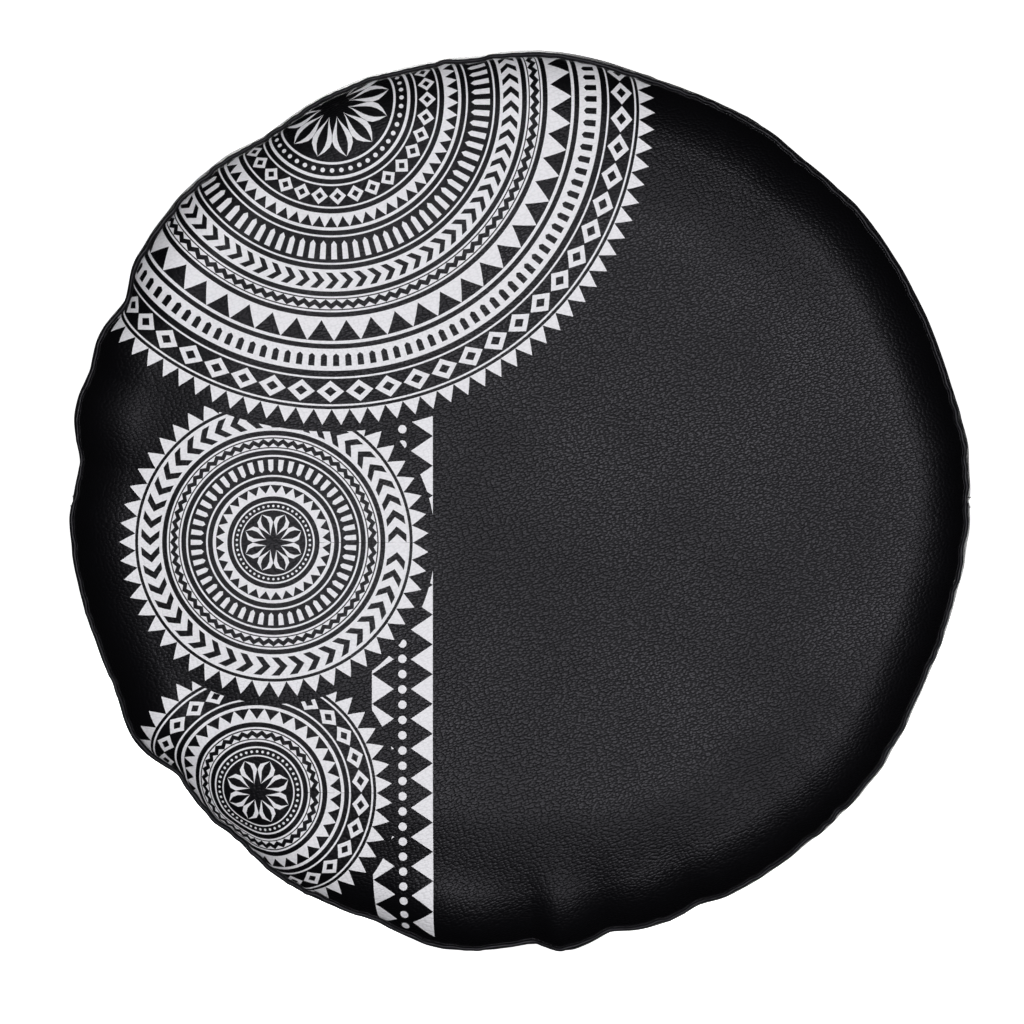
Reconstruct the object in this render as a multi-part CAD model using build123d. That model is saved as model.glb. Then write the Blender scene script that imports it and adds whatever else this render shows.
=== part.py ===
from build123d import *
import math
import os

# Spare tyre cover for a 235/75R15 wheel: a flat face panel, a side band that wraps the tread
# and the tyre's back, an elastic hem round the rear opening, and a webbing strap with a
# side-release buckle across that opening.
# Frame: millimetres, origin at the tyre's centre, +Y along the wheel axis towards the rear
# opening, +Z up. The face panel looks along -Y.

# ---- driving dimensions ----
tyre_radius = 366.5
tyre_width = 235.0
radial_room = 3.0            # between the tread and the cover's inner side
side_room = 1.6              # between each sidewall and the cover's inner side
skin = 1.2                   # coated fabric
shoulder_radius = 49.0       # outer side of both shoulders
seam_angle = 64.0            # place of the face seam on the front shoulder, in degrees
joint_gap = 0.2              # between the two halves of the band
fit_gap = 0.05               # between sewn layers that follow the same curve

bead_radius = 1.7            # piping round the face seam
bead_cord_radius = 0.9
stem_thickness = 0.8

tape_thickness = 1.4         # binding tape over the raw edges inside the face seam
tape_width = 12.0
joint_tape_width = 22.0
thread_radius = 0.4

hem_ring_radius = 252.5      # centre line of the elastic hem
casing_radius = 6.3
elastic_radius = 2.6
casing_bore_radius = 2.8
hem_lap = 14.0               # hem allowance behind the band's inner edge
hem_stitch_radius = 267.0

strap_height = -130.0        # Z of the strap's middle
webbing_width = 25.0
webbing_thickness = 1.5
patch_length = 44.0
patch_width = 40.0
patch_reach = 266.5          # X of each patch's middle
patch_corner = 5.0
strap_end = 284.0            # X where the webbing ends on a patch

bar_radius = 1.8             # webbing bars of the buckle
end_bar_radius = 1.4
socket_bar_x = -24.0
socket_back_x = -17.0
socket_mouth_x = 20.0
socket_half_height = 16.5
buckle_half_depth = 5.0
cavity_half_height = 14.2
cavity_half_depth = 3.3
cavity_back_x = -12.0
window_start_x = -9.0
window_end_x = 5.3
shell_round = 2.2            # long edges of the buckle's two shells
thumb_rest_radius = 8.0      # shallow round hollow on each side of the socket
thumb_rest_depth = 0.6
rib_pitch = 2.2              # grip ribs across the plug's block
rib_width = 1.0
rib_height = 0.5
rib_half_height = 11.0
plug_gap = 0.3
plug_block_length = 7.7
plug_bar_x = 36.0
plug_end_bar_x = 48.0
rail_inside = 13.2
rail_thickness = 3.2
blade_half_height = 1.6
blade_half_depth = 2.4
blade_tip_x = -9.0
prong_root_x = 19.6
prong_root_z = 10.0
prong_half_depth = 2.8
keeper_x = 82.0
keeper_length = 12.0
keeper_wall = 1.2

label_length = 34.0
label_reach = 24.0
label_thickness = 0.4
label_angle = 60.0           # below +X, in degrees

# ---- sizes worked out from the driving ones ----
outer_radius = tyre_radius + radial_room + skin
half_width = tyre_width / 2 + side_room + skin
corner_radius = outer_radius - shoulder_radius
corner_depth = half_width - shoulder_radius
shoulder_inner = shoulder_radius - skin
seam_half_angle = math.degrees(stem_thickness / 2 / shoulder_inner) + 0.04
hem_edge_radius = hem_ring_radius + casing_radius + 0.9
casing_depth = half_width - casing_radius
patch_top = half_width + skin
strap_depth = patch_top + webbing_thickness / 2
loop_radius = bar_radius + 0.1 + webbing_thickness / 2
buckle_depth = strap_depth + loop_radius
second_layer = strap_depth + webbing_thickness + fit_gap
front_corner = (corner_radius, -corner_depth)
rear_corner = (corner_radius, corner_depth)


def on_shoulder(distance, angle):
    """Point at a distance from the front shoulder's centre, angle 0 facing -Y, 90 outwards."""
    turn = math.radians(angle)
    across = corner_radius + distance * math.sin(turn)
    along = -corner_depth - distance * math.cos(turn)
    return (across, along)


def spin(sketch):
    """Turn a section, drawn with X as radius and Y along the axis, into a ring."""
    return revolve(sketch, axis=Axis.Y)


def shoulder_ring(outer, inner, start_angle, end_angle):
    """Ring that follows the front shoulder between two distances from its centre."""
    turn = end_angle - start_angle
    with BuildSketch() as section:
        with BuildLine():
            far = CenterArc(front_corner, outer, start_angle - 90, turn)
            near = CenterArc(front_corner, inner, start_angle - 90, turn)
            Line(far @ 0, near @ 0)
            Line(far @ 1, near @ 1)
        make_face()
    return spin(section.sketch)


def face_panel():
    end_angle = seam_angle - seam_half_angle
    with BuildSketch() as section:
        with BuildLine():
            outer = CenterArc(front_corner, shoulder_radius, -90, end_angle)
            inner = CenterArc(front_corner, shoulder_inner, -90, end_angle)
            Line(outer @ 1, inner @ 1)
            Polyline(outer @ 0, (0, -half_width), (0, -half_width + skin), inner @ 0)
        make_face()
    return spin(section.sketch)


def band_ring():
    """Whole side band: front shoulder, tread, rear shoulder and the flat back."""
    turn = 90 - seam_angle - seam_half_angle
    with BuildSketch() as section:
        with BuildLine():
            front_out = CenterArc(front_corner, shoulder_radius, -turn, turn)
            front_in = CenterArc(front_corner, shoulder_inner, -turn, turn)
            rear_out = CenterArc(rear_corner, shoulder_radius, 0, 90)
            rear_in = CenterArc(rear_corner, shoulder_inner, 0, 90)
            Line(front_out @ 0, front_in @ 0)
            Line(front_out @ 1, rear_out @ 0)
            Line(front_in @ 1, rear_in @ 0)
            edge_out = (hem_edge_radius, half_width)
            edge_in = (hem_edge_radius, half_width - skin)
            Polyline(rear_out @ 1, edge_out, edge_in, rear_in @ 1)
        make_face()
    return spin(section.sketch)


def band_halves():
    """Lower and upper half, joined at the two ends of the horizontal diameter."""
    cut = Box(3 * outer_radius, 3 * half_width, joint_gap)
    return (band_ring() - cut).solids().sort_by(Axis.Z)


def band_joint_tapes():
    """Tape inside the tread over each joint of the band."""
    length = 2 * corner_depth
    tape_radius = outer_radius - skin - fit_gap
    with BuildSketch(Plane.XZ) as section:
        Circle(tape_radius)
        Circle(tape_radius - tape_thickness, mode=Mode.SUBTRACT)
        Rectangle(3 * outer_radius, joint_tape_width, mode=Mode.INTERSECT)
    return extrude(section.sketch, amount=length / 2, both=True)


def face_piping():
    """Round bead on the outside of the seam, its stem between the two panels, bored for a cord."""
    bead_distance = shoulder_radius + bead_radius + fit_gap
    middle = on_shoulder(bead_distance, seam_angle)
    root = on_shoulder(shoulder_inner, seam_angle)
    stem_middle = ((middle[0] + root[0]) / 2, (middle[1] + root[1]) / 2)
    stem_length = bead_distance - shoulder_inner
    with BuildSketch() as section:
        with Locations(middle):
            Circle(bead_radius)
        with Locations(Location((*stem_middle, 0), (0, 0, seam_angle - 90))):
            Rectangle(stem_length, stem_thickness)
        with Locations(middle):
            Circle(bead_cord_radius + fit_gap, mode=Mode.SUBTRACT)
    return spin(section.sketch)


def ring_cord(section_middle, radius):
    """Round cord or thread that runs once about the axis."""
    with BuildSketch() as section:
        with Locations(section_middle):
            Circle(radius)
    return spin(section.sketch)


def hem_casing():
    """Rolled hem: a tube about the elastic and the allowance sewn behind the band's edge."""
    lap_top = half_width - skin - fit_gap
    lap_end = hem_edge_radius + hem_lap
    with BuildSketch() as section:
        with Locations((hem_ring_radius, casing_depth)):
            Circle(casing_radius)
        with Locations((lap_end, lap_top)):
            Rectangle(lap_end - hem_ring_radius, skin, align=(Align.MAX, Align.MAX))
        with Locations((hem_ring_radius, casing_depth)):
            Circle(casing_bore_radius, mode=Mode.SUBTRACT)
    return spin(section.sketch)


def strap_patch(side):
    """Reinforcing patch, sewn flat on the band's back; side is -1 or 1."""
    patch = extrude(Plane.XZ * RectangleRounded(patch_length, patch_width, patch_corner), -skin)
    return Pos(side * patch_reach, half_width, strap_height) * patch


def patch_stitches(side):
    """Square of thread with a cross in it, over the webbing's end on a patch."""
    reach = 11.0
    half_height = webbing_width / 2 - 3
    with BuildSketch(Plane.XZ) as seam:
        with BuildLine():
            Polyline(
                (-reach, -half_height),
                (reach, -half_height),
                (reach, half_height),
                (-reach, half_height),
                close=True,
            )
        make_face()
        offset(amount=-2 * thread_radius, mode=Mode.SUBTRACT)
        for tilt in (1, -1):
            angle = tilt * math.degrees(math.atan2(half_height, reach))
            with Locations(Location((0, 0, 0), (0, 0, angle))):
                Rectangle(2 * math.hypot(reach, half_height) - 2, 2 * thread_radius)
    stitches = extrude(seam.sketch, -thread_radius)
    top = strap_depth + webbing_thickness / 2
    return Pos(side * (strap_end - reach - 3), top, strap_height) * stitches


def webbing(path):
    """Flat webbing whose edge view follows a path of lines and arcs in XY."""
    outline = trace(path, line_width=webbing_thickness)
    strip = extrude(outline, webbing_width / 2, both=True)
    return Pos(0, 0, strap_height) * strip


def loop_about(bar_x, side):
    """Half turn of webbing round a bar, from the lower layer to the upper one."""
    return CenterArc((bar_x, buckle_depth), loop_radius, -90, side * 180)


def strap_short():
    """From the left patch round the socket's bar, and sewn back on itself."""
    upper = buckle_depth + loop_radius
    with BuildLine() as path:
        turn = loop_about(socket_bar_x, 1)
        Line((-strap_end, strap_depth), turn @ 0)
        Polyline(turn @ 1, (socket_bar_x - 3, upper), (socket_bar_x - 13, second_layer))
        Line((socket_bar_x - 13, second_layer), (socket_bar_x - 38, second_layer))
    return webbing(path.line)


def strap_long():
    """From the right patch round the plug's inner bar and out under its end bar as a tail."""
    upper = buckle_depth + loop_radius
    with BuildLine() as path:
        turn = loop_about(plug_bar_x, -1)
        Line((strap_end, strap_depth), turn @ 0)
        Polyline(turn @ 1, (plug_bar_x + 1.5, upper), (plug_bar_x + 8, second_layer))
        Line((plug_bar_x + 8, second_layer), (plug_bar_x + 88, second_layer))
    return webbing(path.line)


def strap_keeper():
    """Elastic loop that holds the strap's tail down."""
    room = 0.3
    height = webbing_width + 2 * room
    depth = 2 * webbing_thickness + fit_gap + 2 * room
    outer = Box(keeper_length, depth + 2 * keeper_wall, height + 2 * keeper_wall)
    loop = outer - Box(keeper_length, depth, height)
    layers_middle = (strap_depth + second_layer) / 2
    return Pos(keeper_x, layers_middle, strap_height) * loop


def block(start_x, end_x, half_height, half_depth):
    """Box about the buckle's middle line, between two places along X."""
    length = end_x - start_x
    return Pos((start_x + end_x) / 2, 0, 0) * Box(length, 2 * half_depth, 2 * half_height)


def bar(place_x, depth, radius, half_height):
    return Pos(place_x, depth, 0) * Cylinder(radius, 2 * half_height)


def rails(start_x, end_x, half_depth):
    """Two side rails with room for the webbing between them."""
    whole = block(start_x, end_x, rail_inside + rail_thickness, half_depth)
    return whole - block(start_x, end_x, rail_inside, half_depth)


def at_buckle(shape):
    return Pos(0, buckle_depth, strap_height) * shape


def buckle_socket():
    shell = block(socket_back_x, socket_mouth_x, socket_half_height, buckle_half_depth)
    shell = fillet(shell.edges().filter_by(Axis.X), shell_round)
    rest_x = (socket_back_x + socket_mouth_x) / 2
    for side in (-1, 1):
        hollow = Rot(90, 0, 0) * Cylinder(thumb_rest_radius, 2 * thumb_rest_depth)
        shell -= Pos(rest_x, side * buckle_half_depth, 0) * hollow
    frame = rails(socket_bar_x - bar_radius, socket_back_x, bar_radius)
    socket = shell + frame + bar(socket_bar_x, 0, bar_radius, rail_inside + rail_thickness)
    socket -= block(cavity_back_x, socket_mouth_x, cavity_half_height, cavity_half_depth)
    socket -= block(window_start_x, window_end_x, socket_half_height + 1, cavity_half_depth)
    return at_buckle(socket)


def buckle_plug():
    """Block that meets the socket's mouth, guide blade, two bars for the webbing."""
    front = socket_mouth_x + plug_gap
    back = front + plug_block_length
    head = block(front, back, socket_half_height, buckle_half_depth)
    head = fillet(head.edges().filter_by(Axis.X), shell_round)
    for step in (-1, 0, 1):
        rib_x = (front + back) / 2 + step * rib_pitch
        half_depth = buckle_half_depth + rib_height
        head += block(rib_x - rib_width / 2, rib_x + rib_width / 2, rib_half_height, half_depth)
    blade = block(blade_tip_x, front, blade_half_height, blade_half_depth)
    frame = rails(back, plug_end_bar_x + end_bar_radius, bar_radius)
    half_height = rail_inside + rail_thickness
    inner_bar = bar(plug_bar_x, 0, bar_radius, half_height)
    end_bar = bar(plug_end_bar_x, 1.3, end_bar_radius, half_height)
    return at_buckle(head + blade + frame + inner_bar + end_bar)


def buckle_prong(side):
    """Springy arm with a barbed head that catches the edge of the socket's window."""
    barb_x = window_end_x - 0.3
    outline = Polyline(
        (prong_root_x, prong_root_z - 1.5),
        (prong_root_x, prong_root_z + 1.5),
        (barb_x, prong_root_z + 1.5),
        (barb_x, 17.5),
        (-1.5, 17.2),
        (-8.5, 11.5),
        (-8.5, prong_root_z - 1.5),
        close=True,
    )
    arm = extrude(Plane.XZ * make_face(outline), prong_half_depth, both=True)
    arm = fillet(arm.edges().filter_by(Axis.Y).group_by(Axis.X)[0], 1.0)
    if side < 0:
        arm = mirror(arm, Plane.XY)
    return at_buckle(arm)


def size_label():
    """Small blank tag beside the hem seam, on the band's back."""
    reach = hem_stitch_radius + 1 + label_reach / 2
    tag = Box(label_reach, label_thickness, label_length)
    placed = Pos(reach, half_width + label_thickness / 2, 0) * tag
    return placed.rotate(Axis.Y, label_angle)


tape_top = shoulder_inner - fit_gap
tape_start = seam_angle + 1.5
tape_end = tape_start + math.degrees(tape_width / tape_top)
seam_thread_distance = tape_top - tape_thickness - thread_radius - fit_gap
bead_middle = on_shoulder(shoulder_radius + bead_radius + fit_gap, seam_angle)
band_lower, band_upper = band_halves()

nodes = {
    "face_panel": face_panel(),
    "face_piping": face_piping(),
    "piping_cord": ring_cord(bead_middle, bead_cord_radius),
    "face_seam_tape": shoulder_ring(tape_top, tape_top - tape_thickness, tape_start, tape_end),
    "face_seam_thread": ring_cord(on_shoulder(seam_thread_distance, seam_angle + 5), thread_radius),
    "side_band_upper": band_upper,
    "side_band_lower": band_lower,
    "band_joint_tapes": band_joint_tapes(),
    "hem_casing": hem_casing(),
    "hem_elastic": ring_cord((hem_ring_radius, casing_depth), elastic_radius),
    "hem_thread": ring_cord((hem_stitch_radius, half_width + thread_radius + 0.02), thread_radius),
    "strap_patch_left": strap_patch(-1),
    "strap_patch_right": strap_patch(1),
    "patch_thread_left": patch_stitches(-1),
    "patch_thread_right": patch_stitches(1),
    "strap_short": strap_short(),
    "strap_long": strap_long(),
    "strap_keeper": strap_keeper(),
    "buckle_socket": buckle_socket(),
    "buckle_plug": buckle_plug(),
    "buckle_prong_upper": buckle_prong(1),
    "buckle_prong_lower": buckle_prong(-1),
    "size_label": size_label(),
}

for name, shape in nodes.items():
    export_step(shape, f"parts/{name}.step")
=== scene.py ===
import math

import bpy
import numpy as np
from mathutils.geometry import delaunay_2d_cdt
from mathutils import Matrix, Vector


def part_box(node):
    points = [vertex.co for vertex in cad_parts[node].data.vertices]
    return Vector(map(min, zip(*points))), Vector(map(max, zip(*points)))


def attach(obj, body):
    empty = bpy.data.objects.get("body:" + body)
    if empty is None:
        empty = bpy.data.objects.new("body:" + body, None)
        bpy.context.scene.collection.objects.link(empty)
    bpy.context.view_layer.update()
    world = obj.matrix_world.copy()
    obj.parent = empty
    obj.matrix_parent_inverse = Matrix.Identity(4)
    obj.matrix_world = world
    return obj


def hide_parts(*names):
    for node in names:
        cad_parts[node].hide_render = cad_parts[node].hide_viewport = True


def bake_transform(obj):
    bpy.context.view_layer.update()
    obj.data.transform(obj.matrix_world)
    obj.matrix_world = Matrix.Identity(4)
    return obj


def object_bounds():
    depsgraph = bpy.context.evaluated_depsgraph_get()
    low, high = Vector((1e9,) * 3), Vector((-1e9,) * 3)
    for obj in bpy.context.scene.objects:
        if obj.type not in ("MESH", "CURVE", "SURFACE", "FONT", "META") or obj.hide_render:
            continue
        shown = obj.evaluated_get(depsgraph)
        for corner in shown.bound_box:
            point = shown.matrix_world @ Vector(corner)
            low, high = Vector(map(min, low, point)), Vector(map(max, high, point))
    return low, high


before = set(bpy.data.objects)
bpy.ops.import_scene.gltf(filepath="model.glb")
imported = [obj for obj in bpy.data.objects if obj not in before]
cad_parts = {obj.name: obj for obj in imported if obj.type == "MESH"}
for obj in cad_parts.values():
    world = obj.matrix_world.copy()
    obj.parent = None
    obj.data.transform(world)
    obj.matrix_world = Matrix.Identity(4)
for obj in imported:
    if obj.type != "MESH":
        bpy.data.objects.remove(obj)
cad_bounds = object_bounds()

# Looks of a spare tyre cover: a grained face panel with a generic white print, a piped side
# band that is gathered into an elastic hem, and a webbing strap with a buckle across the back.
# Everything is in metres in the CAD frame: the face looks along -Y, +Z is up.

# ---------------------------------------------------------------- sizes

MM = 0.001
TURN = 2 * math.pi
HALF_WIDTH = -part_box("face_panel")[0].y
OUTER_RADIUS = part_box("side_band_upper")[1].x
SHOULDER = 49 * MM                       # radius of both shoulders
SEAM_TURN = math.radians(64)             # place of the face seam on the front shoulder
CORNER_RADIUS = OUTER_RADIUS - SHOULDER
CORNER_DEPTH = HALF_WIDTH - SHOULDER
SKIN = 1.2 * MM
BEAD_RADIUS = 1.7 * MM
BEAD_LIFT = 2.3 * MM                     # of the bead's centre line from the cloth's outer side
HEM_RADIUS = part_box("hem_elastic")[1].x - 2.6 * MM
HEM_DEPTH = sum(corner.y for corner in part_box("hem_elastic")) / 2
CASING_RADIUS = 6.3 * MM
STRAP_Z = sum(corner.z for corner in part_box("strap_long")) / 2
STRAP_HALF_WIDTH = 12.5 * MM
STRAP_HALF_THICK = 0.75 * MM
STRAP_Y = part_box("strap_patch_left")[1].y + STRAP_HALF_THICK
BUCKLE_Y = sum(corner.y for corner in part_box("buckle_socket")) / 2

# distances along the cover's profile, from the middle of the face
S_FACE = CORNER_RADIUS
S_SEAM = S_FACE + SHOULDER * SEAM_TURN
S_TREAD = S_FACE + SHOULDER * math.pi / 2
S_REAR = S_TREAD + 2 * CORNER_DEPTH
S_BACK = S_REAR + SHOULDER * math.pi / 2
S_HEM = S_BACK + CORNER_RADIUS - HEM_RADIUS - CASING_RADIUS
S_HEM_ROW = S_BACK + CORNER_RADIUS - 267 * MM

# the outline's tucks and bulges: degrees anticlockwise from +X, and millimetres
OUTLINE = [(8, 3.0), (15, -0.8), (25, -0.8), (40, 0.4), (50, -2.6), (57, -0.6), (65, -2.2), (72, -3.2),
           (87, 3.2), (96, 0.2), (105, 1.2), (112, 3.2), (125, -1.4), (132, 5.8), (138, 7.8), (147, 6.2),
           (153, -3.4), (159, 4.6), (163, 2.0), (168, 6.2), (175, -4.4), (184, 3.6), (199, 0.4),
           (204, -0.2), (212, 6.2), (219, -6.8), (225, -2.6), (230, -4.4), (238, 1.0), (251, -1.6),
           (261, 6.8), (272, -3.2), (276, 5.2), (282, -5.2), (288, -0.4), (294, -3.6), (300, 0.4),
           (309, 0.2), (321, 2.0), (336, -3.0), (347, -1.4), (355, 1.8)]


def smooth(x, low, high):
    """0 below low, 1 above high, smooth between."""
    t = np.clip((x - low) / (high - low), 0, 1)
    return t * t * (3 - 2 * t)


def hump(x, middle, width):
    return np.exp(-(((x - middle) / width) ** 2))


def even_turns(count):
    return np.arange(count) / count * TURN


def flat_ring(radius, turns):
    """Points at some radius and turns, in flat coordinates."""
    return np.stack([radius * np.cos(turns), radius * np.sin(turns)], -1)


def axis_ring(radius, depth, turns):
    """Points at some radius, depth and turns about the cover's axis."""
    return np.stack(np.broadcast_arrays(radius * np.cos(turns), depth, radius * np.sin(turns)), -1)


def middle_and_half(node):
    """Middle of a CAD node's box, and half its sides."""
    low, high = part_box(node)
    return (low + high) / 2, (high - low) / 2


# ---------------------------------------------------------------- the cover's soft surface

def profile(s):
    """Radius, depth and outward normal of the taut cover at distances s along its profile."""
    s = np.asarray(s, float)
    front = (s - S_FACE) / SHOULDER
    rear = (s - S_REAR) / SHOULDER
    parts = [s <= S_FACE, s <= S_TREAD, s <= S_REAR, s <= S_BACK]
    radius = np.select(parts, [
        s, CORNER_RADIUS + SHOULDER * np.sin(front), OUTER_RADIUS,
        CORNER_RADIUS + SHOULDER * np.cos(rear)], CORNER_RADIUS - (s - S_BACK))
    depth = np.select(parts, [
        -HALF_WIDTH, -CORNER_DEPTH - SHOULDER * np.cos(front), -CORNER_DEPTH + s - S_TREAD,
        CORNER_DEPTH + SHOULDER * np.sin(rear)], HALF_WIDTH)
    out_radius = np.select(parts, [0, np.sin(front), 1, np.cos(rear)], 0)
    out_depth = np.select(parts, [-1, -np.cos(front), 0, np.sin(rear)], 1)
    return radius, depth, out_radius, out_depth


def ring_noise(angle, seed, lowest, highest, count=9):
    """Smooth random wave round the ring with a mean square of 1."""
    rng = np.random.default_rng(seed)
    total = np.zeros_like(angle)
    for harmonic in rng.integers(lowest, highest + 1, count):
        total += np.cos(harmonic * angle + rng.uniform(0, TURN))
    return total * math.sqrt(2 / count)


def plane_noise(x, z, seed, shortest, longest, count=10):
    """Smooth random ripples over the face with a mean square of 1."""
    rng = np.random.default_rng(seed)
    total = np.zeros_like(x)
    for _ in range(count):
        way = rng.uniform(0, TURN)
        wave = TURN / rng.uniform(shortest, longest)
        total += np.cos(wave * (x * math.cos(way) + z * math.sin(way)) + rng.uniform(0, TURN))
    return total * math.sqrt(2 / count)


def outline_offset(angle):
    """Scallops of the outline: rounded bulges between narrower tucks."""
    degrees = np.degrees(angle) % 360
    (first, start_value), (last, end_value) = OUTLINE[0], OUTLINE[-1]
    points = [(last - 360, end_value)] + OUTLINE + [(first + 360, start_value)]
    total = np.zeros_like(degrees)
    for (start, low), (end, high) in zip(points, points[1:]):
        inside = (degrees >= start) & (degrees < end)
        t = (degrees[inside] - start) / (end - start)
        if low > high:
            t = 1 - t
        sharp = np.sin(t * math.pi / 2)
        soft = (1 - np.cos(t * math.pi)) / 2
        total[inside] = min(low, high) + abs(high - low) * (0.45 * sharp + 0.55 * soft)
    return total * MM


def ridges(phase):
    """Pleats with rounded tops and narrow valleys, from -1 to 1, one for each turn of phase."""
    return 2 * np.abs(np.sin(phase / 2)) ** 0.75 - 1


PLEATS = 58


def pleat_phase(angle):
    return PLEATS * angle + 1.5 * ring_noise(angle, 5, 3, 9) + 0.8 * ring_noise(angle, 6, 11, 25)


def pressed_flat(x, z, depth):
    """1 where the back hangs free, falling to 0 under what is sewn on it or lies on it."""
    free = np.ones_like(x)
    for node in ("strap_patch_left", "strap_patch_right", "size_label"):
        middle, half = middle_and_half(node)
        away = np.hypot(np.maximum(np.abs(x - middle.x) - half.x, 0),
                        np.maximum(np.abs(z - middle.z) - half.z, 0))
        free = np.minimum(free, smooth(away, 1 * MM, 26 * MM))
    along = smooth(np.abs(x), 195 * MM, 210 * MM) * (1 - smooth(np.abs(x), 285 * MM, 300 * MM))
    away = np.maximum(np.abs(z - STRAP_Z) - 13 * MM, 0)
    free = np.minimum(free, 1 - along * (1 - smooth(away, 0, 15 * MM)))
    return np.where(depth > 0, free, 1.0)


def cloth_offset(s, angle):
    """How far the cloth stands off its taut profile, along the profile's outward normal."""
    radius, depth, _, _ = profile(s)
    x, z = radius * np.cos(angle), radius * np.sin(angle)
    scallop = smooth(s, S_FACE - 26 * MM, S_FACE + 36 * MM) * (1 - 0.75 * smooth(s, S_TREAD, S_BACK))
    total = outline_offset(angle) * scallop
    face = 0.75 * plane_noise(x, z, 11, 0.16, 0.42) + 0.2 * plane_noise(x, z, 12, 0.06, 0.12)
    total += face * MM * (1 - smooth(s, S_FACE, S_SEAM))
    # short puckers that the seam draws up on both sides of it, and longer folds from them
    from_seam = np.abs(s - S_SEAM)
    short = ring_noise(angle, 21, 95, 175, 14) * np.exp(-from_seam / (9 * MM))
    lean = angle + 0.05 * ring_noise(angle, 22, 3, 8) * np.clip(s - S_SEAM, 0, 0.2) / 0.1
    middle = ring_noise(lean, 23, 38, 80, 14) * np.exp(-from_seam / (30 * MM))
    total += (0.28 * short + 0.38 * middle) * MM
    total -= 1.1 * MM * hump(s, S_SEAM, 2.6 * MM)
    # slack folds across the tread
    tread = smooth(s, S_SEAM, S_TREAD + 40 * MM) * (1 - smooth(s, S_REAR, S_BACK))
    drift = angle + 0.06 * np.sin((s - S_TREAD) * 14 + 3 * ring_noise(angle, 31, 2, 5))
    slack = 0.35 + 0.9 * smooth(s, S_TREAD, S_REAR)
    folds = 0.8 * ring_noise(drift, 32, 14, 46, 12) + 0.3 * ring_noise(drift, 33, 60, 120)
    total += tread * slack * folds * MM
    # gathers that grow towards the hem and merge in pairs towards the tread
    free = pressed_flat(x, z, depth)
    phase = pleat_phase(angle)
    near = smooth(s, S_REAR - 50 * MM, S_HEM)
    merge = smooth(s, S_BACK - 45 * MM, S_BACK + 30 * MM)
    height = (0.6 + 0.4 * (ring_noise(angle, 41, 9, 30) * 0.35 + 1)) * near ** 1.3
    height *= 6.2 - 2.6 * smooth(s, S_HEM - 22 * MM, S_HEM)
    paired = ridges(phase / 2 + 0.5)
    gathers = (1 - merge) * paired * 0.55 + merge * (0.72 * ridges(phase) + 0.28 * paired)
    total += height * gathers * MM * free
    total += near * free * 0.5 * MM * ring_noise(angle + 0.2 * s, 43, 120, 210, 12)
    # the two joints of the band
    across = np.minimum(np.abs(np.sin(angle)), 1) * radius
    total -= 0.7 * MM * hump(across, 0, 2.0 * MM) * smooth(s, S_SEAM, S_SEAM + 4 * MM)
    return total


def set_back(s, angle):
    """How far the front shoulder lies behind its taut profile, along the depth: hardly at the
    cover's right side, and most where it lies further round than that."""
    from_right = np.degrees(np.arccos(np.clip(np.cos(angle), -1, 1)))
    most = (1.5 + 12.5 * smooth(from_right, 15, 70)) * MM
    ending = 1 - smooth(s, S_SEAM, S_TREAD + 110 * MM)
    return most * smooth(s, S_FACE - 70 * MM, S_SEAM - 8 * MM) * ending


def cloth(s, angle, lift=0.0):
    """Points of the cover's cloth in space, lifted outwards from its outer side."""
    s, angle = np.broadcast_arrays(np.asarray(s, float), np.asarray(angle, float))
    radius, depth, out_radius, out_depth = profile(s)
    offset = cloth_offset(s, angle) + lift
    radius = radius + out_radius * offset
    return axis_ring(radius, depth + out_depth * offset + set_back(s, angle), angle)


def cloth_normals(s, angle, lift=0.0):
    step = 0.4 * MM
    s = np.maximum(s, 2 * step)
    turn = step / np.maximum(profile(s)[0], 5 * MM)
    along = cloth(s + step, angle, lift) - cloth(s - step, angle, lift)
    round_ = cloth(s, angle + turn, lift) - cloth(s, angle - turn, lift)
    normal = np.cross(along, round_)
    return normal / np.maximum(np.linalg.norm(normal, axis=-1, keepdims=True), 1e-12)


# ---------------------------------------------------------------- mesh helpers

def face_outward(mesh):
    """Turns every face of a closed mesh outwards."""
    points = np.empty(len(mesh.vertices) * 3)
    mesh.vertices.foreach_get("co", points)
    points = points.reshape(-1, 3)
    mesh.calc_loop_triangles()
    triangles = np.empty(len(mesh.loop_triangles) * 3, np.int32)
    mesh.loop_triangles.foreach_get("vertices", triangles)
    a, b, c = (points[triangles.reshape(-1, 3)[:, k]] for k in range(3))
    if np.einsum("ij,ij->", a, np.cross(b, c)) < 0:
        mesh.flip_normals()


def make_piece(name, points, faces, materials, slot, node=None, indices=None, body="cover", flat=None):
    """A closed piece that rides on a body and stands in for a CAD node. flat holds its points on
    the flat cloth, for the grain."""
    mesh = bpy.data.meshes.new(name)
    points = np.asarray(points).reshape(-1, 3)
    mesh.from_pydata(points.tolist(), [], [list(f) for f in faces])
    flat = points[:, [0, 2]] if flat is None else np.asarray(flat).reshape(-1, 2)
    on_cloth = mesh.attributes.new("flat", "FLOAT_VECTOR", "POINT")
    on_cloth.data.foreach_set("vector", np.column_stack([flat, np.zeros(len(flat))]).ravel())
    for material in materials:
        mesh.materials.append(material)
    if indices is not None:
        mesh.polygons.foreach_set("material_index", np.asarray(indices, np.int32))
    mesh.polygons.foreach_set("use_smooth", np.ones(len(mesh.polygons), bool))
    mesh.update()
    face_outward(mesh)
    piece = bpy.data.objects.new(name, mesh)
    bpy.context.scene.collection.objects.link(piece)
    if body:
        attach(piece, body)
    if node:
        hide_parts(node)
    return piece


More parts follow.
